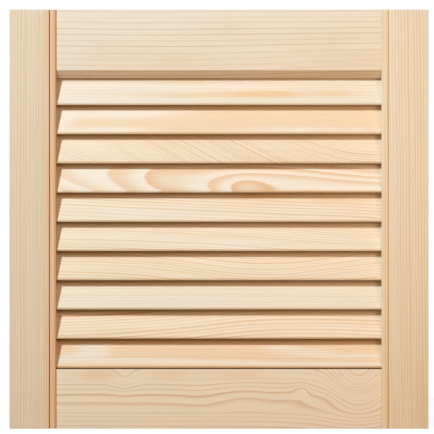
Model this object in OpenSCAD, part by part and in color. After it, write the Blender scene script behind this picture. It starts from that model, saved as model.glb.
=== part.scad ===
// Louvred cabinet door leaf in solid pine, for a small cupboard or wardrobe.
// Two moulded stiles and two rails, dowelled at the corners, hold ten sloping
// louvres whose ends sit in slanted housings cut in the stiles.
// The front faces -Y, +Z is up, and the origin is under the middle of the leaf.

/* [Door leaf] */
// Overall width of the leaf
door_w = 394; // [360:1:440]
// Overall height of the leaf
door_h = 394; // [380:1:410]
// Thickness of the stiles, which is the thickness of the leaf
door_t = 21; // [20:0.5:24]
// Rounding of the sawn arrises
ease = 0.6; // [0.3:0.1:1]

/* [Stiles] */
// Width of each stile
stile_w = 44; // [40:1:60]
// Width of the moulding along the inner front edge of a stile
mould_w = 6.4; // [5:0.1:9]
// Height of the small square step beside the moulding
mould_step = 1.4; // [0.8:0.1:1.8]
// Depth that the rounded part of the moulding falls below its step
mould_drop = 1.5; // [1:0.1:2]
// Width of the fine groove at the foot of the step
quirk_w = 0.5; // [0.3:0.1:0.8]
// Depth of that groove
quirk_d = 0.6; // [0.3:0.1:1]

/* [Rails] */
// Height of the top rail, down to its lowest edge
top_rail_h = 64.2; // [58:0.1:70]
// Height of the bevel along the lower front edge of the top rail
bevel_h = 7.3; // [5:0.1:9]
// Depth of that bevel, from front to back
bevel_d = 5.6; // [4:0.1:6]
// Height of the bottom rail at its front face
bottom_rail_h = 56.1; // [50:0.1:62]
// Height of the lip behind the top edge of the bottom rail
lip_h = 6; // [3:0.5:8]
// Space between that lip and the back of the lowest louvre
lip_gap = 1.5; // [1:0.1:2.5]
// How far the rail faces lie behind the inner arris of the stiles
rail_setback = 0.7; // [0.3:0.1:1]

/* [Louvres] */
// Thickness of a louvre
louvre_t = 6; // [5:0.1:6.5]
// Height by which each louvre laps behind the one above it
louvre_lap = 1.5; // [1:0.1:3]
// Depth of the front arris of the louvres behind the stile faces
louvre_front = 5.2; // [4.9:0.1:5.6]
// Thickness of stile left behind the louvre housings
louvre_back = 0.85; // [0.6:0.05:1.2]
// Gap between the lowest louvre and the bottom rail
nose_gap = 1.1; // [0.8:0.1:3]
// Height that the highest louvre reaches up behind the top rail
rail_lap = 3.8; // [2:0.1:5]
// Depth of the louvre housings in the stiles
housing_d = 8; // [5:0.5:12]

/* [Joints] */
// Diameter of the corner dowels
dowel_d = 8; // [6:0.5:10]
// Length of the corner dowels
dowel_l = 40; // [30:1:50]
// Distance of a dowel from the edge of its rail
dowel_inset = 16; // [13:0.5:18]
// Chamfer on the dowel ends
dowel_chamfer = 1; // [0.5:0.1:1.5]
// Clearance round a dowel in its hole
dowel_fit = 0.05; // [0.03:0.01:0.1]
// Spare depth at the end of each dowel hole
dowel_spare = 1; // [0.5:0.5:2]
// Clearance round a louvre in its housing
housing_fit = 0.15; // [0.1:0.05:0.25]
// Clearance at the end of a louvre in its housing
end_fit = 0.3; // [0.2:0.1:0.5]
// Clearance between the highest louvre and the top rail
rebate_fit = 0.3; // [0.2:0.1:0.5]

/* [Hidden] */
$fn = 48;

louvre_count = 10;
pine = [0.93, 0.83, 0.68];
pine_pale = [0.96, 0.89, 0.77];
beech = [0.85, 0.68, 0.49];

// The clear opening between the stiles, and the depth of the inner arris
opening_w = door_w - 2 * stile_w;
arris_f = mould_step + mould_drop;
rail_f = arris_f + rail_setback;

// The louvres share out the height between the rails. Their tilt is the one
// at which a board of this thickness fills both the lap and the depth.
field_h = door_h - top_rail_h - bottom_rail_h - nose_gap + rail_lap;
pitch = (field_h - louvre_lap) / louvre_count;
louvre_h = pitch + louvre_lap;
louvre_d = door_t - louvre_front - louvre_back;

function tilt_error(a) = louvre_h * sin(a) - louvre_d * cos(a) + louvre_t * cos(2 * a);

function solve_tilt(low, high, steps) =
    steps == 0 ? (low + high) / 2 :
    tilt_error((low + high) / 2) > 0 ? solve_tilt(low, (low + high) / 2, steps - 1) :
    solve_tilt((low + high) / 2, high, steps - 1);

tilt = solve_tilt(5, 40, 30);
louvre_w = (louvre_h - louvre_t * sin(tilt)) / cos(tilt);
louvre_l = opening_w + 2 * (housing_d - end_fit);

// The lower edge of a louvre is cut level, and its nose stands upright
nose_h = louvre_t * sin(tilt);

// Depths are measured back from the stile faces; this turns one into a Y value
function y_at(depth) = depth - door_t / 2;

// Height of the lowest point of a louvre, counted from 1 at the top
function louvre_z(i) = bottom_rail_h + nose_gap + (louvre_count - i) * pitch;

// Depth of a louvre's front face at a height above its lowest point
function face_depth(up) = louvre_front + (up - nose_h) * tan(tilt);

// Points of one rounded corner, centred on c, from a start angle through a turn
arc_steps = 4;
function corner(c, r, start, turn = 90) = [
    for (k = [0 : arc_steps])
        let (a = start + turn * k / arc_steps)
        c + r * [cos(a), sin(a)]
];

// Heights of the dowels in each rail, lower one first
top_face_h = top_rail_h - bevel_h;
dowel_z_top = [door_h - top_face_h + dowel_inset, door_h - dowel_inset];
dowel_z_bottom = [dowel_inset, bottom_rail_h - dowel_inset];
dowel_y = (y_at(rail_f) + door_t / 2) / 2;
hole_l = dowel_l + 2 * dowel_spare;

// Extrudes a section drawn in depth and height along X
module along_x(length) {
    rotate([90, 0, 90]) linear_extrude(height = length, center = true) children();
}

// A hole for the dowels of one joint, centred on the shoulder line at +X
module dowel_hole(z) {
    translate([opening_w / 2, dowel_y, z]) rotate([0, 90, 0])
        cylinder(h = hole_l, d = dowel_d + 2 * dowel_fit, center = true);
}

// Puts a section drawn from the front arris of a louvre, across and up its
// slope, at the place of louvre i
module at_louvre(i) {
    translate([y_at(louvre_front), louvre_z(i) + nose_h])
        rotate(-tilt) children();
}

// A point given by depth and height from that arris, turned into the slope
function in_slope(depth, up) = [
    depth * cos(tilt) - up * sin(tilt),
    depth * sin(tilt) + up * cos(tilt)
];

// The blank of louvre i, grown on all sides for its housing
module louvre_blank(i, grow) {
    at_louvre(i) polygon([
        [-grow, louvre_w + grow],
        [-grow, -grow * (1 - cos(tilt)) / sin(tilt)],
        in_slope(-grow, -nose_h - grow),
        [louvre_t + grow, -grow * (1 - sin(tilt)) / cos(tilt)],
        [louvre_t + grow, louvre_w + grow]
    ]);
}

// Plan section of the right stile: moulded at its inner front edge
mould_steps = 10;
mould_turn = 72;
module stile_section() {
    inner_x = opening_w / 2;
    quirk_x = inner_x + mould_w;
    outer_x = door_w / 2;
    back_y = door_t / 2;
    round_w = mould_w - quirk_w;
    quirk_y = y_at(mould_step + quirk_d);
    ovolo = [
        for (k = [0 : mould_steps])
            let (a = mould_turn * k / mould_steps)
            [inner_x + round_w * (1 - sin(a) / sin(mould_turn)),
             y_at(mould_step + mould_drop * (1 - cos(a)) / (1 - cos(mould_turn)))]
    ];
    polygon(concat(
        [[quirk_x, y_at(0)], [quirk_x, quirk_y], [quirk_x - quirk_w, quirk_y]],
        ovolo,
        [[inner_x, back_y]],
        corner([outer_x - ease, back_y - ease], ease, 90, -90),
        corner([outer_x - ease, y_at(ease)], ease, 0, -90)
    ));
}

// The right stile with its louvre housings and dowel holes
module stile() {
    difference() {
        linear_extrude(height = door_h) stile_section();
        for (i = [1 : louvre_count])
            translate([opening_w / 2 + housing_d / 2 - 1, 0, 0])
                along_x(housing_d + 2) louvre_blank(i, housing_fit);
        for (z = concat(dowel_z_top, dowel_z_bottom)) dowel_hole(z);
    }
}

module right_stile() {
    color(pine) stile();
}

module left_stile() {
    color(pine) mirror([1, 0, 0]) stile();
}

// Both ends of a rail are bored for the dowels
module bored_rail(heights) {
    difference() {
        along_x(opening_w) children();
        for (z = heights, side = [0, 1])
            mirror([side, 0, 0]) dowel_hole(z);
    }
}

// The top rail: bevelled below in front, rebated behind for the first louvre
module top_rail() {
    low = door_h - top_rail_h;
    up = low - louvre_z(1);
    rebate_h = rail_lap + rebate_fit;
    shift = rebate_fit / cos(tilt);
    color(pine_pale) bored_rail(dowel_z_top) polygon([
        [y_at(rail_f), door_h],
        [y_at(rail_f), low + bevel_h],
        [y_at(rail_f + bevel_d), low],
        [y_at(face_depth(up) - shift), low],
        [y_at(face_depth(up + rebate_h) - shift), low + rebate_h],
        [door_t / 2, low + rebate_h],
        [door_t / 2, door_h]
    ]);
}

// The bottom rail: square in front, with a lip behind the lowest louvre
module bottom_rail() {
    lip_up = bottom_rail_h + lip_h - louvre_z(louvre_count);
    lip_f = face_depth(lip_up) + louvre_t / cos(tilt) + lip_gap;
    color(pine_pale) bored_rail(dowel_z_bottom) polygon([
        [y_at(rail_f), 0],
        [door_t / 2, 0],
        [door_t / 2, bottom_rail_h + lip_h],
        [y_at(lip_f), bottom_rail_h + lip_h],
        [y_at(lip_f), bottom_rail_h],
        [y_at(rail_f), bottom_rail_h]
    ]);
}

// A louvre: a flat board with an upright nose, housed at both ends
module louvre(i) {
    section = concat(
        [[0, 0]],
        corner(in_slope(ease, ease - nose_h), ease, 180 + tilt),
        [[louvre_t, 0]],
        corner([louvre_t - ease, louvre_w - ease], ease, 0),
        corner([ease, louvre_w - ease], ease, 90)
    );
    color(pine_pale) along_x(louvre_l) at_louvre(i) polygon(section);
}

// A corner dowel across the joint on one side, with chamfered ends
module dowel(side, z) {
    half = dowel_l / 2;
    color(beech) translate([side * opening_w / 2, dowel_y, z]) rotate([0, 90, 0])
        rotate_extrude() polygon([
            [0, -half],
            [dowel_d / 2 - dowel_chamfer, -half],
            [dowel_d / 2, -half + dowel_chamfer],
            [dowel_d / 2, half - dowel_chamfer],
            [dowel_d / 2 - dowel_chamfer, half],
            [0, half]
        ]);
}

left_stile();
right_stile();
top_rail();
bottom_rail();
louvre(1);  // louvre_01
louvre(2);  // louvre_02
louvre(3);  // louvre_03
louvre(4);  // louvre_04
louvre(5);  // louvre_05
louvre(6);  // louvre_06
louvre(7);  // louvre_07
louvre(8);  // louvre_08
louvre(9);  // louvre_09
louvre(10);  // louvre_10
dowel(-1, dowel_z_top[1]);  // dowel_top_left_upper
dowel(-1, dowel_z_top[0]);  // dowel_top_left_lower
dowel(1, dowel_z_top[1]);  // dowel_top_right_upper
dowel(1, dowel_z_top[0]);  // dowel_top_right_lower
dowel(-1, dowel_z_bottom[1]);  // dowel_bottom_left_upper
dowel(-1, dowel_z_bottom[0]);  // dowel_bottom_left_lower
dowel(1, dowel_z_bottom[1]);  // dowel_bottom_right_upper
dowel(1, dowel_z_bottom[0]);  // dowel_bottom_right_lower
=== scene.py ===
import math

import bmesh
import bpy
from mathutils import Matrix, Vector, noise


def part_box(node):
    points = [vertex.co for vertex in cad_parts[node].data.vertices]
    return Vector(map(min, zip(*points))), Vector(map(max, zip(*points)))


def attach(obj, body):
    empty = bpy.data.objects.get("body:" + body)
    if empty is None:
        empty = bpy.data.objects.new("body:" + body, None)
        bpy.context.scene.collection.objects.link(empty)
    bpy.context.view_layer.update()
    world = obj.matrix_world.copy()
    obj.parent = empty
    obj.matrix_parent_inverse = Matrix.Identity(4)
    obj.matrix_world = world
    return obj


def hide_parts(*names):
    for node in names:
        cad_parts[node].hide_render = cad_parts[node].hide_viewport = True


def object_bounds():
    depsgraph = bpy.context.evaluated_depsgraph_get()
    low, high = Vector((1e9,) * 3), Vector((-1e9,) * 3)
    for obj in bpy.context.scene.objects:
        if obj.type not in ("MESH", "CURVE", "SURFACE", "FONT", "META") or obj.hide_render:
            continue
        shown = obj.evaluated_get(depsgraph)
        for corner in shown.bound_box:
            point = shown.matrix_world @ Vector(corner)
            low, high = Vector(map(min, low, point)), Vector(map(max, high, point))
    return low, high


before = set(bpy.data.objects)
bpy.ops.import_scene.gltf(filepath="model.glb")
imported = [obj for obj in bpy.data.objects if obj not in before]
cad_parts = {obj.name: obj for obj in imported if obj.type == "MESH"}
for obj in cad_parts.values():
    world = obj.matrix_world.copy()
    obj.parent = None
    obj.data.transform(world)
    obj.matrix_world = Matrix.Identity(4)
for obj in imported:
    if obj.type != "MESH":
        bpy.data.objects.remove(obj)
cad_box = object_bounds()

# A small pine louvre door leaf, standing on a pale floor and seen square on.
# Each board is a mesh of its own, with softened arrises and its own piece of
# wood: one solid pattern of growth rings that runs through faces and end grain.

MM = 0.001

# Sizes that the boards share with the CAD pieces, in metres
MOULD_W = 6.4 * MM
MOULD_STEP = 1.4 * MM
MOULD_DROP = 1.5 * MM
MOULD_TURN = math.radians(72)
BEVEL_H = 7.3 * MM
BEVEL_D = 5.6 * MM
RAIL_SETBACK = 0.7 * MM
REBATE_FIT = 0.3 * MM
RAIL_LAP = 3.8 * MM
LIP_H = 6.0 * MM
LOUVRE_T = 6.0 * MM
LOUVRE_FRONT = 5.2 * MM
HOUSING_FIT = 0.15 * MM
DOWEL_FIT = 0.05 * MM
DOWEL_SPARE = 1.0 * MM
DOWEL_CHAMFER = 1.0 * MM
DOWEL_FLUTE_DEPTH = 0.25 * MM
DOWEL_FLUTES = 16
SIDES_PER_FLUTE = 6

# The fine groove beside the moulding
QUIRK_W = 0.5 * MM
QUIRK_D = 0.6 * MM

# Softening of the arrises, and how unevenly the sanding left them
SOFT_STILE = 0.7 * MM
SOFT_RAIL = 0.45 * MM
SOFT_LOUVRE = 0.55 * MM
SOFT_UNEVEN = 0.35
SOFT_WAVE = 45.0 * MM
END_SOFTNESS = 0.4

# Fineness of the meshes
STATION_STEP = 6.0 * MM
ARRIS_STEPS = 4
OVOLO_STEPS = 10
BORE_SIDES = 32

# Corners of the CAD meshes closer than this lie on one face
FACE_TOLERANCE = 0.01 * MM


def srgb(red, green, blue):
    """A colour given in 8-bit screen values, as linear light."""
    def linear(value):
        share = value / 255
        return share / 12.92 if share <= 0.04045 else ((share + 0.055) / 1.055) ** 2.4
    return (linear(red), linear(green), linear(blue), 1.0)


# Board meshes

def softened(corners, soft, along, seed):
    """The outline with each corner rounded by a radius that varies a little along the board.

    A corner is (depth, across), or (depth, across, share) where its share of the radius isn't 1.
    """
    points = []
    count = len(corners)
    for index, corner in enumerate(corners):
        here = Vector(corner[:2])
        radius = corner[2] * soft if len(corner) > 2 else soft
        if radius == 0:
            points.append(here)
            continue
        spot = Vector((along / SOFT_WAVE, index * 3.7, seed))
        radius *= 1 + SOFT_UNEVEN * noise.noise(spot)
        before = (Vector(corners[index - 1][:2]) - here).normalized() * radius
        after = (Vector(corners[(index + 1) % count][:2]) - here).normalized() * radius
        for step in range(ARRIS_STEPS + 1):
            share = step / ARRIS_STEPS
            points.append(here + before * (1 - share) ** 2 + after * share ** 2)
    return points


def drawn_in(points, distance):
    """The closed outline moved inwards by a distance."""
    area = sum(a.cross(b) for a, b in zip(points, points[1:] + points[:1]))
    side = 1 if area > 0 else -1
    moved = []
    for index, point in enumerate(points):
        tangent = points[(index + 1) % len(points)] - points[index - 1]
        normal = Vector((-tangent.y, tangent.x)).normalized() * side
        moved.append(point + normal * distance)
    return moved


def stations(length, soft):
    """Places along a board, each with how far the outline is drawn in there."""
    turns = [math.radians(angle) for angle in (0, 30, 60, 90)]
    ends = [(soft * (1 - math.sin(turn)), soft * (1 - math.cos(turn))) for turn in reversed(turns)]
    near = [(-length / 2 + run, inset * END_SOFTNESS) for run, inset in ends]
    count = max(2, round((length - 2 * soft) / STATION_STEP))
    between = [(-length / 2 + soft + (length - 2 * soft) * k / count, 0) for k in range(1, count)]
    far = [(-run, inset) for run, inset in reversed(near)]
    return near + between + far


def swept(name, rings, place):
    """A closed mesh through rings of points, capped at both ends and put in its place."""
    mesh = bpy.data.meshes.new(name)
    bm = bmesh.new()
    made = [[bm.verts.new(point) for point in ring] for ring in rings]
    for ring, following in zip(made, made[1:]):
        for a in range(len(ring)):
            b = (a + 1) % len(ring)
            bm.faces.new((ring[a], ring[b], following[b], following[a]))
    bm.faces.new(made[0])
    bm.faces.new(made[-1])
    bmesh.ops.recalc_face_normals(bm, faces=bm.faces)
    if bm.calc_volume(signed=True) < 0:
        bmesh.ops.reverse_faces(bm, faces=bm.faces)
    bm.to_mesh(mesh)
    bm.free()
    mesh.transform(place)
    piece = bpy.data.objects.new(name, mesh)
    bpy.context.scene.collection.objects.link(piece)
    return piece


def board_mesh(name, corners, length, soft, place, seed):
    """A board swept along its length from the corners of its section."""
    rings = []
    for along, inset in stations(length, soft):
        outline = drawn_in(softened(corners, soft, along, seed), inset)
        rings.append([(along, point.x, point.y) for point in outline])
    return swept(name, rings, place)


def shade_boards(piece, angle=math.radians(25)):
    """Smooth shading over the rounded arrises, with the flats kept flat."""
    bpy.context.view_layer.objects.active = piece
    piece.select_set(True)
    bpy.ops.object.shade_smooth_by_angle(angle=angle)
    piece.select_set(False)


def cut(piece, cutters):
    """Takes the cutters' shapes out of a board and leaves nothing of them behind."""
    for cutter in cutters:
        modifier = piece.modifiers.new("housing", "BOOLEAN")
        modifier.operation = "DIFFERENCE"
        modifier.solver = "EXACT"
        modifier.object = cutter
    graph = bpy.context.evaluated_depsgraph_get()
    mesh = bpy.data.meshes.new_from_object(piece.evaluated_get(graph))
    piece.modifiers.clear()
    old = piece.data
    piece.data = mesh
    bpy.data.meshes.remove(old)
    for cutter in cutters:
        shape = cutter.data
        bpy.data.objects.remove(cutter)
        bpy.data.meshes.remove(shape)


# Places of the boards

def axes(along, depth, across, centre):
    """The matrix that carries (along, depth, across) into the row frame."""
    turn = Matrix((along, depth, across)).transposed().to_4x4()
    return Matrix.Translation(centre) @ turn


def middle(low, high):
    return (Vector(low) + Vector(high)) / 2


def louvre_slope():
    """Unit vectors through a louvre and up its slope, read from its largest face."""
    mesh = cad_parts["louvre_01"].data
    face = max(mesh.polygons, key=lambda polygon: polygon.area)
    through = Vector((0, abs(face.normal.y), -abs(face.normal.z)))
    return through, Vector((0, -through.z, through.y))


THROUGH, UP_SLOPE = louvre_slope()
TILT = math.atan2(UP_SLOPE.y, UP_SLOPE.z)
DOOR_LOW, DOOR_HIGH = (Vector(corner) for corner in cad_box)
FRONT_Y = DOOR_LOW.y
BACK_Y = DOOR_HIGH.y
DOOR_T = BACK_Y - FRONT_Y
RAIL_F = MOULD_STEP + MOULD_DROP + RAIL_SETBACK
LOUVRES = sorted(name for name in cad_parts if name.startswith("louvre_"))
DOWELS = sorted(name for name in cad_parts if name.startswith("dowel_"))


def louvre_place(name):
    return axes((1, 0, 0), THROUGH, UP_SLOPE, middle(*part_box(name)))


def louvre_width():
    """Width of a louvre board up its slope, from the foot of its back face."""
    corners = [vertex.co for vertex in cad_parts["louvre_01"].data.vertices]
    back = max(corner.dot(THROUGH) for corner in corners)
    behind = [corner.dot(UP_SLOPE) for corner in corners if corner.dot(THROUGH) > back - FACE_TOLERANCE]
    return max(corner.dot(UP_SLOPE) for corner in corners) - min(behind)


LOUVRE_W = louvre_width()
NOSE_H = LOUVRE_T * math.sin(TILT)


def louvre_section(grow, nose_soft=0, foot_soft=0, top_soft=0):
    """Outline of a louvre about its centre: upright nose, level lower edge, square top."""
    front, back = -LOUVRE_T / 2 - grow, LOUVRE_T / 2 + grow
    foot, top = -LOUVRE_W / 2, LOUVRE_W / 2 + grow
    sine, cosine = math.sin(TILT), math.cos(TILT)
    fall = NOSE_H + grow
    return [
        (front, foot - grow * (1 - cosine) / sine, nose_soft),
        (-LOUVRE_T / 2 - grow * cosine + fall * sine, foot - grow * sine - fall * cosine, foot_soft),
        (back, foot - grow * (1 - sine) / cosine, foot_soft),
        (back, top, top_soft),
        (front, top, top_soft),
    ]


def face_depth(name, height):
    """Depth of a louvre's front face behind the stiles, at a height in the row frame."""
    front_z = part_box(name)[0][2] + NOSE_H
    return LOUVRE_FRONT + (height - front_z) * math.tan(TILT)


# The pieces. Each maker returns the board and its place; a seed sets how its arrises vary.

def stile(name, seed):
    """A stile: flat face, fine groove, square step, ovolo and housings for the louvres."""
    low, high = (Vector(corner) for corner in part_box(name))
    width = high.x - low.x
    is_left = low.x < 0
    inner, outer = -width / 2, width / 2
    front, back = -DOOR_T / 2, DOOR_T / 2
    quirk = inner + MOULD_W
    ovolo_w = MOULD_W - QUIRK_W
    section = [
        (front, quirk, 1.1),
        (front + MOULD_STEP + QUIRK_D, quirk, 0),
        (front + MOULD_STEP + QUIRK_D, quirk - QUIRK_W, 0),
    ]
    for step in range(OVOLO_STEPS + 1):
        turn = MOULD_TURN * step / OVOLO_STEPS
        across = inner + ovolo_w * (1 - math.sin(turn) / math.sin(MOULD_TURN))
        fall = MOULD_DROP * (1 - math.cos(turn)) / (1 - math.cos(MOULD_TURN))
        arris_share = 0.4 if step == OVOLO_STEPS else 0
        section.append((front + MOULD_STEP + fall, across, arris_share))
    section += [(back, inner, 0.6), (back, outer, 1), (front, outer, 1)]
    out = Vector((-1, 0, 0)) if is_left else Vector((1, 0, 0))
    along = Vector((0, 1, 0)).cross(out)
    place = axes(along, (0, 1, 0), out, middle(low, high))
    board = name + "_board"
    piece = board_mesh(board, section, high.z - low.z, SOFT_STILE, place, seed)
    cut(piece, housing_cutters(is_left) + bore_cutters(board, is_left))
    return piece, place


def housing_cutters(is_left):
    """Blanks a little larger than the louvre ends on one side."""
    cutters = []
    section = louvre_section(HOUSING_FIT)
    stile_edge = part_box("left_stile")[1][0] if is_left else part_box("right_stile")[0][0]
    for name in LOUVRES:
        low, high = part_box(name)
        end = low[0] if is_left else high[0]
        reach = abs(end - stile_edge) + REBATE_FIT
        inner = stile_edge - math.copysign(reach, stile_edge)
        outer = stile_edge + math.copysign(reach, stile_edge)
        place = louvre_place(name)
        place.translation.x = (inner + outer) / 2
        cutters.append(board_mesh("housing", section, abs(outer - inner), 0, place, 0))
    return cutters


def round_bar(name, radius, length, place):
    """A plain round bar along its own first axis, used as a cutter."""
    turns = [2 * math.pi * k / BORE_SIDES for k in range(BORE_SIDES)]
    rings = [
        [(x, radius * math.cos(turn), radius * math.sin(turn)) for turn in turns]
        for x in (-length / 2, length / 2)
    ]
    return swept(name, rings, place)


def bore_cutters(owner, is_left=None, is_top=None):
    """Bars for the dowel holes of one stile or one rail."""
    cutters = []
    for name in DOWELS:
        if is_left is not None and ("left" in name) != is_left:
            continue
        if is_top is not None and ("top" in name) != is_top:
            continue
        low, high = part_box(name)
        place = Matrix.Translation(middle(low, high))
        radius = (high[2] - low[2]) / 2 + DOWEL_FIT
        length = high[0] - low[0] + 2 * DOWEL_SPARE
        cutters.append(round_bar(owner + "_bore", radius, length, place))
    return cutters


def top_rail(seed):
    """The top rail, bevelled below in front and rebated behind for the first louvre."""
    low, high = (Vector(corner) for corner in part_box("top_rail"))
    centre = middle(low, high)
    front = FRONT_Y + RAIL_F - centre.y
    back = BACK_Y - centre.y
    foot, head = low.z - centre.z, high.z - centre.z
    rebate = RAIL_LAP + REBATE_FIT
    shift = REBATE_FIT / math.cos(TILT)
    lower = FRONT_Y + face_depth("louvre_01", low.z) - shift - centre.y
    upper = FRONT_Y + face_depth("louvre_01", low.z + rebate) - shift - centre.y
    section = [
        (front, head),
        (front, foot + BEVEL_H, 0.8),
        (front + BEVEL_D, foot, 0.8),
        (lower, foot, 0.5),
        (upper, foot + rebate, 0),
        (back, foot + rebate, 0.8),
        (back, head),
    ]
    place = axes((1, 0, 0), (0, 1, 0), (0, 0, 1), centre)
    piece = board_mesh("top_rail_board", section, high.x - low.x, SOFT_RAIL, place, seed)
    cut(piece, bore_cutters("top_rail", is_top=True))
    return piece, place


def bottom_rail(seed):
    """The bottom rail, square in front, with a lip behind the lowest louvre."""
    low, high = (Vector(corner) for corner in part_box("bottom_rail"))
    centre = middle(low, high)
    front = FRONT_Y + RAIL_F - centre.y
    back = BACK_Y - centre.y
    foot, head = low.z - centre.z, high.z - centre.z
    shoulder = head - LIP_H
    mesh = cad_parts["bottom_rail"].data
    top_edge = [vertex.co.y for vertex in mesh.vertices if vertex.co.z > high.z - MM]
    lip = min(top_edge) - centre.y
    section = [
        (front, foot),
        (back, foot),
        (back, head),
        (lip, head, 0.8),
        (lip, shoulder, 0),
        (front, shoulder, 0.9),
    ]
    place = axes((1, 0, 0), (0, 1, 0), (0, 0, 1), centre)
    piece = board_mesh("bottom_rail_board", section, high.x - low.x, SOFT_RAIL, place, seed)
    cut(piece, bore_cutters("bottom_rail", is_top=False))
    return piece, place


def louvre(name, seed):
    """A louvre: a thin board with softened arrises, set at the slope."""
    low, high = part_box(name)
    section = louvre_section(0, nose_soft=0.6, foot_soft=0.9, top_soft=1)
    place = louvre_place(name)
    piece = board_mesh(name + "_board", section, high[0] - low[0], SOFT_LOUVRE, place, seed)
    return piece, place


def dowel(name):
    """A beech dowel with chamfered ends and shallow straight flutes."""
    low, high = (Vector(corner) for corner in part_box(name))
    half = (high.x - low.x) / 2
    radius = (high.z - low.z) / 2
    sides = DOWEL_FLUTES * SIDES_PER_FLUTE
    levels = [(-half, -DOWEL_CHAMFER), (-half + DOWEL_CHAMFER, 0)]
    levels += [(-x, grow) for x, grow in reversed(levels)]
    rings = []
    for x, grow in levels:
        ring = []
        for side in range(sides):
            turn = 2 * math.pi * side / sides
            groove = DOWEL_FLUTE_DEPTH * max(0.0, math.cos(DOWEL_FLUTES * turn)) ** 2
            reach = radius + grow - groove
            ring.append((x, reach * math.cos(turn), reach * math.sin(turn)))
        rings.append(ring)
    place = Matrix.Translation(middle(low, high))
    return swept(name + "_pin", rings, place), place


# Wiring of the shader groups

class Wiring:
    """Adds nodes to a tree; a value is either a number, a vector or another node's output."""

    def __init__(self, tree):
        self.tree = tree

    def feed(self, socket, value):
        if isinstance(value, bpy.types.NodeSocket):
            self.tree.links.new(value, socket)
        else:
            socket.default_value = value

    def add(self, kind, **settings):
        node = self.tree.nodes.new(kind)
        for key, value in settings.items():
            setattr(node, key, value)
        return node

    def math(self, operation, *values, clamp=False):
        node = self.add("ShaderNodeMath", operation=operation, use_clamp=clamp)
        for socket, value in zip(node.inputs, values):
            self.feed(socket, value)
        return node.outputs[0]

    def vector(self, operation, *values, out="Vector"):
        node = self.add("ShaderNodeVectorMath", operation=operation)
        for socket, value in zip(node.inputs, values):
            self.feed(socket, value)
        return node.outputs[out]

    def split(self, value):
        node = self.add("ShaderNodeSeparateXYZ")
        self.feed(node.inputs[0], value)
        return node.outputs[0], node.outputs[1], node.outputs[2]

    def join(self, x, y, z):
        node = self.add("ShaderNodeCombineXYZ")
        for socket, value in zip(node.inputs, (x, y, z)):
            self.feed(socket, value)
        return node.outputs[0]

    def ramp(self, value, low, high, start=0.0, end=1.0, kind="SMOOTHSTEP"):
        node = self.add("ShaderNodeMapRange", interpolation_type=kind)
        for socket, item in zip(node.inputs, (value, low, high, start, end)):
            self.feed(socket, item)
        return node.outputs[0]

    def noise(self, position, detail):
        node = self.add("ShaderNodeTexNoise", noise_dimensions="3D")
        self.feed(node.inputs["Vector"], position)
        self.feed(node.inputs["Scale"], 1.0)
        self.feed(node.inputs["Detail"], detail)
        self.feed(node.inputs["Roughness"], 0.5)
        return node.outputs["Fac"]

    def mix(self, share, first, second, blend="MIX"):
        node = self.add("ShaderNodeMix", data_type="RGBA", blend_type=blend)
        self.feed(node.inputs["Factor"], share)
        self.feed(node.inputs["A"], first)
        self.feed(node.inputs["B"], second)
        return node.outputs["Result"]

    def place(self, group, **inputs):
        node = self.add("ShaderNodeGroup", node_tree=group)
        for key, value in inputs.items():
            self.feed(node.inputs[key.replace("_", " ")], value)
        return node.outputs


def new_group(name, inputs, outputs):
    """A shader group with named sockets; returns the group, its wiring, inputs and output node."""
    kinds = {"value": "NodeSocketFloat", "vector": "NodeSocketVector", "colour": "NodeSocketColor"}
    group = bpy.data.node_groups.new(name, "ShaderNodeTree")
    for socket, (kind, value) in inputs.items():
        made = group.interface.new_socket(socket, in_out="INPUT", socket_type=kinds[kind])
        made.default_value = value
    for socket, kind in outputs.items():
        group.interface.new_socket(socket, in_out="OUTPUT", socket_type=kinds[kind])
    wires = Wiring(group)
    source = wires.add("NodeGroupInput").outputs
    sink = wires.add("NodeGroupOutput").inputs
    return group, wires, source, sink


# Shader groups. Positions and sizes in them are millimetres along, through and across a board.

def soft_spot_group():
    """A spot with soft edges: where the grain bulges, where the wood changes its colour, and where shade is
    painted.
    """
    group, w, given, result = new_group(
        "Soft spot",
        {
            "Position": ("vector", (0, 0, 0)),
            "Centre": ("vector", (0, 0, 0)),
            "Size": ("vector", (40, 1000, 10)),
            "Amount": ("value", 2.0),
        },
        {"Strength": "value"},
    )
    away = w.vector("DIVIDE", w.vector("SUBTRACT", given["Position"], given["Centre"]), given["Size"])
    squared = w.vector("DOT_PRODUCT", away, away, out="Value")
    fade = w.math("EXPONENT", w.math("MULTIPLY", squared, -1.0))
    w.feed(result["Strength"], w.math("MULTIPLY", fade, given["Amount"]))
    return group


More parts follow.
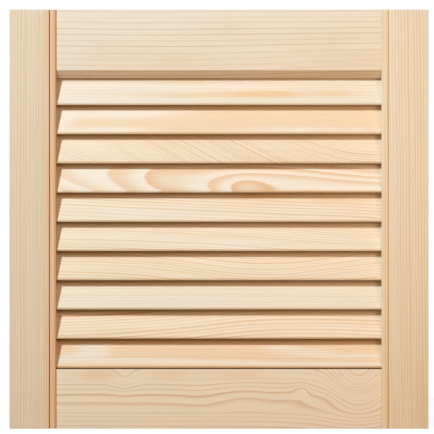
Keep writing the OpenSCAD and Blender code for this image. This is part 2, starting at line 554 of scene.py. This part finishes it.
def growth_ring_group():
    """Growth rings round a pith that leans and wanders beside the board."""
    group, w, given, result = new_group(
        "Growth rings",
        {
            "Position": ("vector", (0, 0, 0)),
            "Pith": ("vector", (0, 60, 0)),
            "Lean": ("vector", (0, 0, 0)),
            "Ring Width": ("value", 3.0),
            "Wander": ("value", 3.0),
            "Ripple": ("value", 0.4),
            "Onset": ("value", 0.3),
            "Shift": ("value", 0.0),
            "Seed": ("value", 0.0),
        },
        {"Late": "value", "Tone": "value"},
    )
    late_peak = 0.9
    palest_year = 0.25
    uneven_growth = 1.6
    growth_pace = 0.31
    along, _, _ = w.split(given["Position"])
    seeded = w.join(given["Seed"], w.math("MULTIPLY", given["Seed"], 1.7), 0.0)

    def drift(long, short, offset, detail):
        """A slow change over a length and a width, from -0.5 to 0.5."""
        stretched = w.vector("DIVIDE", given["Position"], (long, short, short))
        moved = w.vector("ADD", w.vector("ADD", stretched, seeded), (0.0, offset, offset))
        return w.math("SUBTRACT", w.noise(moved, detail), 0.5)

    lean_along = w.vector("MULTIPLY", given["Lean"], w.join(along, along, along))
    centred = w.vector("SUBTRACT", w.vector("SUBTRACT", given["Position"], given["Pith"]), lean_along)
    _, off_depth, off_across = w.split(centred)
    wander = w.math("MULTIPLY", given["Wander"], 2.0)
    off_depth = w.math("MULTIPLY_ADD", drift(long=170, short=90, offset=3, detail=1), wander, off_depth)
    off_across = w.math("MULTIPLY_ADD", drift(long=150, short=90, offset=11, detail=1), wander, off_across)
    reach = w.vector("LENGTH", w.join(0.0, off_depth, off_across), out="Value")
    waves = w.math("MULTIPLY", given["Ripple"], 2.0)
    ripple = w.math("MULTIPLY", drift(long=38, short=7, offset=23, detail=2), waves)
    reach = w.math("ADD", w.math("ADD", reach, ripple), given["Shift"])
    count = w.math("DIVIDE", reach, given["Ring Width"])
    pace = w.math("ADD", w.math("MULTIPLY", count, growth_pace), given["Seed"])
    uneven = w.math("SUBTRACT", w.noise(w.join(pace, 0.0, 0.0), 1.0), 0.5)
    count = w.math("MULTIPLY_ADD", uneven, uneven_growth, count)
    share = w.math("FRACT", count)
    rise = w.ramp(share, given["Onset"], late_peak)
    fall = w.ramp(share, late_peak, 1.0, 1.0, 0.0)
    year = w.add("ShaderNodeTexWhiteNoise", noise_dimensions="1D")
    w.feed(year.inputs["W"], w.math("ADD", w.math("FLOOR", count), given["Seed"]))
    strength = w.ramp(year.outputs["Value"], 0.0, 1.0, palest_year, 1.0, kind="LINEAR")
    w.feed(result["Late"], w.math("MULTIPLY", w.math("MULTIPLY", rise, fall), strength))
    w.feed(result["Tone"], w.math("ADD", drift(long=120, short=14, offset=41, detail=2), 0.5))
    return group


def wood_fibre_group():
    """Fine fibres and short dark resin canals along the grain."""
    group, w, given, result = new_group(
        "Wood fibres",
        {"Position": ("vector", (0, 0, 0)), "Seed": ("value", 0.0)},
        {"Fibre": "value", "Canal": "value"},
    )
    coarse_share = 0.6
    seeded = w.join(given["Seed"], given["Seed"], given["Seed"])

    def strands(long, short, detail):
        stretched = w.vector("DIVIDE", given["Position"], (long, short, short))
        return w.noise(w.vector("ADD", stretched, seeded), detail)

    coarse = w.math("MULTIPLY", strands(long=60, short=1.5, detail=2), coarse_share)
    fine = w.math("MULTIPLY", strands(long=22, short=0.45, detail=2), 1 - coarse_share)
    w.feed(result["Fibre"], w.ramp(w.math("ADD", coarse, fine), 0.32, 0.68, kind="LINEAR"))
    w.feed(result["Canal"], w.ramp(strands(long=7, short=0.5, detail=0), 0.74, 0.82))
    return group


def cut_face_group():
    """Which cut of the board shows, told by how the surface lies to the board's axes."""
    group, w, given, result = new_group(
        "Cut faces",
        {
            "Normal": ("vector", (0, 0, 1)),
            "Board Axis": ("vector", (1, 0, 0)),
            "Face Axis": ("vector", (0, 1, 0)),
        },
        {"End": "value", "Edge": "value"},
    )

    def facing(axis):
        return w.math("ABSOLUTE", w.vector("DOT_PRODUCT", given["Normal"], given[axis], out="Value"))

    w.feed(result["End"], w.ramp(facing("Board Axis"), 0.55, 0.9))
    w.feed(result["Edge"], w.ramp(facing("Face Axis"), 0.93, 0.995, 1.0, 0.0))
    return group


# Colours that all the boards share. The edges are multiplied by their tint, which is painted shade on the
# faces turned away from a board's broad face, such as the louvre noses and the rail bevel.
EDGE_SHADE_TINT = (0.85, 0.77, 0.66, 1)
RESIN = srgb(176, 128, 78)
END_GRAIN = srgb(206, 160, 108)


def timber_group():
    """Puts rings, fibres and tones together as bare planed wood, and paints shade on the edges and in grooves
    and gaps.
    """
    group, w, given, result = new_group(
        "Bare timber",
        {
            "Early Wood": ("colour", srgb(243, 230, 209)),
            "Late Wood": ("colour", srgb(228, 196, 152)),
            "Warm Wood": ("colour", srgb(236, 205, 163)),
            "Late": ("value", 0.0),
            "Contrast": ("value", 0.8),
            "Tone": ("value", 0.5),
            "Warmth": ("value", 0.2),
            "Patch": ("value", 0.0),
            "Seam": ("value", 0.0),
            "Seam Wood": ("colour", srgb(190, 130, 66)),
            "Fibre": ("value", 0.5),
            "Canal": ("value", 0.0),
            "End": ("value", 0.0),
            "Edge": ("value", 0.0),
        },
        {"Colour": "colour", "Roughness": "value", "Height": "value"},
    )
    resin_share = 0.12
    end_share = 0.55
    darkest_fibre, palest_fibre = 0.955, 1.03
    planed_roughness, late_polish, end_roughness = 0.62, -0.08, 0.15
    tone = w.ramp(given["Tone"], 0.35, 0.7)
    patch = w.math("MULTIPLY", given["Patch"], w.math("MULTIPLY_ADD", tone, 0.5, 0.5))
    warm = w.math("MULTIPLY_ADD", tone, given["Warmth"], patch, clamp=True)
    ground = w.mix(warm, given["Early Wood"], given["Warm Wood"])
    lines = w.math("MULTIPLY", given["Late"], given["Contrast"], clamp=True)
    ringed = w.mix(lines, ground, given["Late Wood"])
    shade = w.ramp(given["Fibre"], 0.0, 1.0, darkest_fibre, palest_fibre, kind="LINEAR")
    fibred = w.mix(1.0, ringed, w.join(shade, shade, shade), blend="MULTIPLY")
    resinous = w.mix(w.math("MULTIPLY", given["Canal"], resin_share), fibred, RESIN)
    # Painted shade in grooves, gaps and crevices, in its own colour
    shade_painted = w.mix(w.math("MINIMUM", given["Seam"], 1.0), resinous, given["Seam Wood"])
    # Painted shade on the edges and noses, which turn away from the front
    edge_shaded = w.mix(given["Edge"], shade_painted, EDGE_SHADE_TINT, blend="MULTIPLY")
    end_tint = w.mix(end_share, edge_shaded, END_GRAIN)
    w.feed(result["Colour"], w.mix(given["End"], edge_shaded, end_tint))
    rough = w.math("MULTIPLY_ADD", given["Late"], late_polish, planed_roughness)
    w.feed(result["Roughness"], w.math("MULTIPLY_ADD", given["End"], end_roughness, rough))
    ridge = w.math("MULTIPLY", given["Late"], 0.5)
    w.feed(result["Height"], w.math("MULTIPLY_ADD", given["Fibre"], 0.5, ridge))
    return group


SOFT_SPOT = soft_spot_group()
RINGS = growth_ring_group()
FIBRES = wood_fibre_group()
CUT_FACES = cut_face_group()
TIMBER = timber_group()

# The relief of the planed surface, and its weak gloss
GRAIN_RELIEF = 0.12 * MM
RELIEF_STRENGTH = 0.35
WOOD_SPECULAR = 0.3


def spot_nodes(w, position, spots):
    """The strength of each soft spot; a spot is its centre, its size and an amount."""
    for centre, size, amount in spots:
        spot = w.place(SOFT_SPOT, Position=position, Centre=centre, Size=size, Amount=amount)
        yield spot["Strength"]


def spot_sum(w, position, spots):
    total = 0.0
    for strength in spot_nodes(w, position, spots):
        total = w.math("ADD", strength, total)
    return total


def right_through(spots, depth=1000):
    """Soft spots that reach through the whole thickness of a board."""
    for along, across, length, width, amount in spots:
        yield (along, 0, across), (length, depth, width), amount


def wood_material(name, place, cutting):
    """Bare wood for one board, cut from its own place in the log."""
    material = bpy.data.materials.new(name)
    material.use_nodes = True
    tree = material.node_tree
    w = Wiring(tree)
    shader = tree.nodes["Principled BSDF"]
    where = w.add("ShaderNodeTexCoord")
    board = w.add("ShaderNodeMapping", vector_type="TEXTURE")
    w.feed(board.inputs["Vector"], where.outputs["Object"])
    board.inputs["Location"].default_value = place.translation
    board.inputs["Rotation"].default_value = place.to_euler()
    board.inputs["Scale"].default_value = (MM, MM, MM)
    position = board.outputs[0]
    contrast = cutting["contrast"]
    for lull in spot_nodes(w, position, right_through(cutting["calm"])):
        contrast = w.math("MULTIPLY", w.math("SUBTRACT", 1.0, lull, clamp=True), contrast)
    rings = w.place(
        RINGS,
        Position=position,
        Pith=(0, cutting["pith"][1], cutting["pith"][0]),
        Lean=(0, cutting["lean"][1], cutting["lean"][0]),
        Ring_Width=cutting["ring"],
        Wander=cutting["wander"],
        Ripple=cutting["ripple"],
        Onset=cutting["onset"],
        Shift=spot_sum(w, position, right_through(cutting["swirls"])),
        Seed=cutting["seed"],
    )
    fibres = w.place(FIBRES, Position=position, Seed=cutting["seed"])
    axis = place.to_3x3() @ Vector((1, 0, 0))
    face = place.to_3x3() @ Vector((0, 1, 0))
    cuts = w.place(CUT_FACES, Normal=where.outputs["Normal"], Board_Axis=axis, Face_Axis=face)
    timber = w.place(
        TIMBER,
        Early_Wood=cutting["early"],
        Late_Wood=cutting["late"],
        Warm_Wood=cutting["warm"],
        Late=rings["Late"],
        Contrast=contrast,
        Tone=rings["Tone"],
        Warmth=cutting["warmth"],
        Patch=spot_sum(w, position, right_through(cutting["patches"])),
        # Painted shade in grooves, gaps and crevices
        Seam=spot_sum(w, position, cutting["seams"]),
        Seam_Wood=cutting["seam"],
        Fibre=fibres["Fibre"],
        Canal=fibres["Canal"],
        End=cuts["End"],
        # Painted shade on the edges
        Edge=w.math("MULTIPLY", cuts["Edge"], cutting["edge"]),
    )
    bump = w.add("ShaderNodeBump")
    bump.inputs["Strength"].default_value = RELIEF_STRENGTH
    bump.inputs["Distance"].default_value = GRAIN_RELIEF
    w.feed(bump.inputs["Height"], timber["Height"])
    w.feed(shader.inputs["Base Color"], timber["Colour"])
    w.feed(shader.inputs["Roughness"], timber["Roughness"])
    w.feed(shader.inputs["Normal"], bump.outputs["Normal"])
    shader.inputs["Specular IOR Level"].default_value = WOOD_SPECULAR
    return material


# How each board was cut, in millimetres. Pith and lean are (across, depth).
# Swirls, patches and calm are (along, across, length, width, amount). A swirl pushes the
# rings aside, a patch turns the wood to the warm colour, and calm wood has fainter rings.
# Painted shades are lines of painted shade in grooves, gaps and crevices: a centre and a size, as (along,
# depth, across), and an amount.
# The edge value says how much of the painted shade on the edges a board takes.

def wood_cut(**changes):
    """The usual cut of pine, with what differs on one board."""
    usual = {
        "pith": (0, 60),
        "lean": (0.0, 0.0),
        "ring": 3.0,
        "wander": 3.0,
        "ripple": 0.4,
        "onset": 0.3,
        "seed": 1.0,
        "early": srgb(242, 228, 210),
        "late": srgb(227, 194, 152),
        "warm": srgb(236, 209, 171),
        "contrast": 0.6,
        "warmth": 0.3,
        "seam": srgb(182, 119, 50),
        "edge": 1.0,
        "swirls": (),
        "patches": (),
        "calm": (),
        "seams": (),
    }
    usual.update(changes)
    return usual


CUTTINGS = {
    # Straight fine lines. The warm band over the moulding is partly the wood's colour and partly painted
    # shade; the groove and the inner arris carry painted shade
    "left_stile": wood_cut(
        pith=(60, 20), ring=2.2, wander=1.5, ripple=0.3, seed=2.3,
        early=srgb(235, 218, 194), late=srgb(206, 175, 138), contrast=0.7,
        warm=srgb(243, 199, 155), warmth=0.0, edge=0.3,
        patches=((0, -13.6, 2000, 1.3, 1.2), (0, -20.4, 2000, 1.7, 1.8), (0, -17.0, 2000, 2.0, 0.8)),
        seams=(((0, -9, -15.7), (5000, 4, 0.55), 1.0), ((0, -9, -21.8), (5000, 4, 1.2), 0.4)),
    ),
    # Straight fine lines, darker and warmer towards the foot as painted shade, with painted shade in the
    # groove
    "right_stile": wood_cut(
        pith=(-55, 25), lean=(0.01, 0.0), ring=2.4, wander=1.5, ripple=0.3, seed=5.1,
        early=srgb(239, 226, 202), late=srgb(216, 186, 146), contrast=0.62,
        warm=srgb(233, 210, 172), warmth=0.0, edge=0.0,
        patches=((0, -19.4, 2000, 2.8, 0.8), (230, 0, 170, 1000, 0.95)),
        seams=(((0, -9, -15.7), (5000, 4, 0.5), 0.8),), seam=srgb(220, 166, 86),
    ),
    # Narrow lines wide apart, which rise a little at the right
    "top_rail": wood_cut(
        pith=(-95, 40), ring=5.0, wander=1.5, ripple=0.25, onset=0.7, seed=7.7,
        early=srgb(240, 228, 211), late=srgb(205, 180, 148), contrast=0.75, edge=1.3,
        swirls=((165, -35, 120, 40, -6),),
    ),
    # Wavy lines that sag round a knot at the right, and painted shade in the slit behind the front arris
    "bottom_rail": wood_cut(
        pith=(-90, 45), ring=4.6, wander=1.0, ripple=0.3, onset=0.5, seed=9.4,
        early=srgb(243, 228, 205), late=srgb(209, 163, 116), contrast=0.66,
        warm=srgb(238, 198, 154), warmth=0.0,
        swirls=(
            (0, -15, 2000, 9, 4.5), (-89, 17, 11, 12, 7), (-17, 1, 20, 12, 1.3), (24, 1, 28, 15, -3),
            (67, 1, 16, 12, -1.5), (78, 5, 7, 6, -5.5), (132, 20, 24, 30, 30), (128, -25, 45, 15, 6),
        ),
        calm=((-70, 17, 130, 8, 0.5), (-50, -21, 170, 9, 0.55), (130, 10, 40, 30, 0.3)),
        patches=((-116, 20, 18, 5, 0.7), (-46, 20, 20, 5, 0.6), (22, 20, 24, 5, 0.6)),
        seams=(((0, -4, 25.9), (5000, 7, 0.9), 1.0),), seam=srgb(130, 80, 36),
    ),
    # Faint streaks and an orange patch right of the middle
    "louvre_01": wood_cut(
        pith=(-40, 25), ring=2.0, wander=2.5, ripple=0.8, seed=11.2,
        early=srgb(240, 231, 217), late=srgb(229, 196, 152), contrast=0.55,
        warm=srgb(239, 208, 166), warmth=0.0,
        patches=(
            (40, -6, 38, 3.4, 1.6), (48, -5, 20, 2, 0.8), (-40, -7, 60, 2.2, 0.8), (108, -5, 18, 3, 1.0),
            (-50, 6.5, 110, 1.4, 0.9), (120, 2, 60, 1.5, 0.6),
        ),
    ),
    # Nearly plain warm wood, pale at the left and along its lower edge
    "louvre_02": wood_cut(
        pith=(0, 60), lean=(0.0, 0.03), ring=6.0, wander=2.0, seed=13.9,
        early=srgb(240, 217, 184), late=srgb(235, 204, 166), contrast=0.3,
        warm=srgb(244, 233, 219), warmth=0.0,
        patches=(
            (-118, 6, 62, 5, 3.0), (-150, 0, 12, 14, 1.5), (-110, -12, 40, 2.5, 1.6), (95, -12, 75, 2.5, 1.2),
        ),
    ),
    # Close lines that slant down to the right, faint at both ends
    "louvre_03": wood_cut(
        pith=(-60, 25), ring=2.0, wander=1.6, ripple=0.8, seed=15.3,
        early=srgb(243, 229, 208), late=srgb(212, 167, 118), contrast=0.95,
        swirls=((150, 0, 230, 400, 140), (-110, 4, 30, 8, -5)),
        calm=((150, 8, 75, 11, 0.85), (-140, 0, 75, 30, 0.7)),
    ),
    # Arches at the left and a lens in the middle
    "louvre_04": wood_cut(
        pith=(-10, 55), lean=(-0.12, -0.067), ring=3.2, wander=0.8, ripple=0.2, seed=17.8,
        early=srgb(244, 234, 219), late=srgb(230, 190, 145), contrast=0.97, warmth=0.0, onset=0.15,
        swirls=(
            (0, 0, 5000, 5000, -0.94), (-62, 0, 28, 400, -1.6), (25, -11, 20, 9, -3.6), (165, 0, 90, 400, 6),
        ),
    ),
    # Fine lines that fall gently to the right
    "louvre_05": wood_cut(
        pith=(-45, 30), lean=(-0.045, 0.0), ring=2.6, seed=19.5, contrast=0.85,
        early=srgb(245, 235, 220), patches=((30, 9, 25, 3, 1.0), (110, 6, 50, 6, 1.0)),
    ),
    # Fine lines that sag at the right
    "louvre_06": wood_cut(
        pith=(-60, 20), ring=2.3, wander=2.0, seed=21.1, contrast=0.9,
        early=srgb(245, 236, 221), swirls=((150, 0, 150, 400, 12),),
    ),
    # Lines that sag right of the middle
    "louvre_07": wood_cut(
        pith=(-55, 25), ring=2.3, wander=2.0, seed=23.4, contrast=1.0,
        early=srgb(245, 233, 214), swirls=((44, 0, 90, 400, 14),),
    ),
    # Plain wood with faint straight lines
    "louvre_08": wood_cut(
        pith=(-80, 40), ring=2.1, wander=2.0, seed=25.6, contrast=0.7, warmth=0.0,
        early=srgb(241, 231, 214),
    ),
    # Strong lines that rise to the right
    "louvre_09": wood_cut(
        pith=(-45, 30), lean=(0.03, 0.0), ring=2.6, wander=2.0, seed=27.2,
        early=srgb(247, 234, 214), late=srgb(221, 172, 120), contrast=1.0,
        swirls=((60, 0, 110, 400, -8),),
    ),
    # Warm wood with pale streaks; its patches are the pale ones
    "louvre_10": wood_cut(
        pith=(-45, 25), ring=2.4, wander=2.5, ripple=0.7, seed=29.9,
        early=srgb(240, 214, 182), late=srgb(229, 194, 150), contrast=0.5,
        warm=srgb(242, 231, 214), warmth=0.0,
        patches=(
            (-118, 1, 13, 9, 2.2), (-138, -8, 18, 4, 2.0), (-75, -9, 45, 2.2, 2.2), (0, -10.5, 60, 2, 1.8),
            (110, -12.5, 90, 1.8, 2.4), (60, 3, 16, 2.6, 2.2), (85, -1, 22, 3.2, 2.4),
            (130, -5, 35, 2.6, 2.4),
        ),
    ),
}
BEECH = wood_cut(
    pith=(20, 30), ring=2.0, wander=1.0, seed=31.0, contrast=0.35,
    early=srgb(214, 174, 126), late=srgb(190, 144, 98), warm=srgb(205, 160, 112),
)

# Painted shade in the gaps: the upper parts of the louvres' faces, shut away behind the next one, are darker,
# and more so towards the left end
PAINTED_GAP_SHADES = (((0, -3, 13.5), (5000, 2.2, 3.4), 0.85), ((-160, -3, 11.5), (190, 2.2, 4.0), 0.4))
PAINTED_GAP_SHADE_COLOUR = srgb(166, 134, 94)

# Seeds of the uneven arrises
STILE_SEEDS = {"left_stile": 1.3, "right_stile": 2.9}
TOP_RAIL_SEED = 3.1
BOTTOM_RAIL_SEED = 4.7
FIRST_LOUVRE_SEED = 5.0


def dress(made, node, cutting):
    """Gives a board its wood, its body and the CAD node that it stands for."""
    piece, place = made
    piece.data.materials.clear()
    piece.data.materials.append(wood_material(node + "_wood", place, cutting))
    shade_boards(piece)
    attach(piece, "root")
    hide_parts(node)


def make_door():
    for node, seed in STILE_SEEDS.items():
        dress(stile(node, seed), node, CUTTINGS[node])
    dress(top_rail(TOP_RAIL_SEED), "top_rail", CUTTINGS["top_rail"])
    dress(bottom_rail(BOTTOM_RAIL_SEED), "bottom_rail", CUTTINGS["bottom_rail"])
    for index, node in enumerate(LOUVRES):
        # Each louvre takes the painted shade of the gaps as its painted shades
        gap_shaded = dict(CUTTINGS[node], seams=PAINTED_GAP_SHADES, seam=PAINTED_GAP_SHADE_COLOUR)
        dress(louvre(node, FIRST_LOUVRE_SEED + index), node, gap_shaded)
    for node in DOWELS:
        dress(dowel(node), node, BEECH)


make_door()


# Floor, light and camera

FLOOR_HALF = 1.6
FLOOR_SEEN = (0.22, 0.22, 0.22, 1)
FLOOR_GLOW = 0.9
FLOOR_BOUNCE = (0.48, 0.32, 0.18, 1)
WHITE = (1, 1, 1, 1)


def plain_floor():
    """A wide pale floor. The camera sees it near white; it throws back a little warm light."""
    mesh = bpy.data.meshes.new("floor")
    half = FLOOR_HALF
    corners = [(-half, -half, 0), (half, -half, 0), (half, half, 0), (-half, half, 0)]
    mesh.from_pydata(corners, [], [(0, 1, 2, 3)])
    floor = bpy.data.objects.new("floor", mesh)
    bpy.context.scene.collection.objects.link(floor)
    material = bpy.data.materials.new("floor_paint")
    material.use_nodes = True
    w = Wiring(material.node_tree)
    shader = material.node_tree.nodes["Principled BSDF"]
    seen = w.add("ShaderNodeLightPath").outputs["Is Camera Ray"]
    w.feed(shader.inputs["Base Color"], w.mix(seen, FLOOR_BOUNCE, FLOOR_SEEN))
    shader.inputs["Emission Color"].default_value = WHITE
    w.feed(shader.inputs["Emission Strength"], w.math("MULTIPLY", seen, FLOOR_GLOW))
    shader.inputs["Roughness"].default_value = 0.9
    shader.inputs["Specular IOR Level"].default_value = 0.0
    mesh.materials.append(material)


def studio_world(ambient, tint, backdrop):
    """Weak soft light all round, with a white backdrop where a ray looks past the leaf."""
    world = bpy.data.worlds.new("studio")
    world.use_nodes = True
    bpy.context.scene.world = world
    w = Wiring(world.node_tree)
    background = world.node_tree.nodes["Background"]
    path = w.add("ShaderNodeLightPath").outputs
    seen = w.math("MAXIMUM", path["Is Camera Ray"], path["Is Glossy Ray"])
    seen = w.math("MAXIMUM", seen, path["Is Transmission Ray"])
    w.feed(background.inputs["Color"], w.mix(seen, tint, WHITE))
    w.feed(background.inputs["Strength"], w.ramp(seen, 0.0, 1.0, ambient, backdrop, kind="LINEAR"))


def lamp(name, shape, size, direction, distance, level, colour):
    """A soft lamp aimed at the leaf; level is how white it lights a white card that faces it."""
    light = bpy.data.lights.new(name, "AREA")
    light.shape = shape
    light.size = size
    light.color = colour
    light.energy = level * (math.pi * distance) ** 2
    holder = bpy.data.objects.new(name, light)
    away = Vector(direction).normalized()
    holder.location = middle(DOOR_LOW, DOOR_HIGH) + away * distance
    holder.rotation_euler = (-away).to_track_quat("-Z", "Y").to_euler()
    bpy.context.scene.collection.objects.link(holder)


plain_floor()
studio_world(ambient=0.06, tint=(1.0, 0.88, 0.76, 1), backdrop=1.0)
lamp(
    "key", "DISK", size=0.22, direction=(-0.7, -1.0, 0.85), distance=2.1,
    level=0.86, colour=(0.87, 0.955, 1),
)
lamp(
    "side fill", "SQUARE", size=0.3, direction=(0.8, -1.0, 0.2), distance=0.8,
    level=0.295, colour=(1, 0.69, 0.47),
)
lamp(
    "back fill", "SQUARE", size=0.8, direction=(-0.8, 1.0, -0.02), distance=2.0,
    level=0.5, colour=(1, 0.84, 0.68),
)

# The photograph is taken square on with a long lens; its frame is 434 pixels wide
FRAME_PX = 434
LEAF_PX = 419.0
LEAF_CENTRE_PX = (218.9, 219.2)
SENSOR_MM = 36.0
CAMERA_DISTANCE = 9.0
SIGHT_RANGE = 100.0


def long_lens():
    """The camera, placed so that the leaf fills the frame as in the photograph."""
    camera = bpy.data.cameras.new("camera")
    holder = bpy.data.objects.new("camera", camera)
    bpy.context.scene.collection.objects.link(holder)
    metres_per_px = (DOOR_HIGH.x - DOOR_LOW.x) / LEAF_PX
    frame_width = metres_per_px * FRAME_PX
    camera.sensor_width = SENSOR_MM
    camera.lens = SENSOR_MM * CAMERA_DISTANCE / frame_width
    camera.clip_end = SIGHT_RANGE
    x = -(LEAF_CENTRE_PX[0] - FRAME_PX / 2) * metres_per_px
    z = (DOOR_LOW.z + DOOR_HIGH.z) / 2 + (LEAF_CENTRE_PX[1] - FRAME_PX / 2) * metres_per_px
    holder.location = (x, FRONT_Y - CAMERA_DISTANCE, z)
    holder.rotation_euler = (math.radians(90), 0, 0)
    bpy.context.scene.camera = holder


long_lens()
bpy.context.scene.view_settings.view_transform = "Standard"
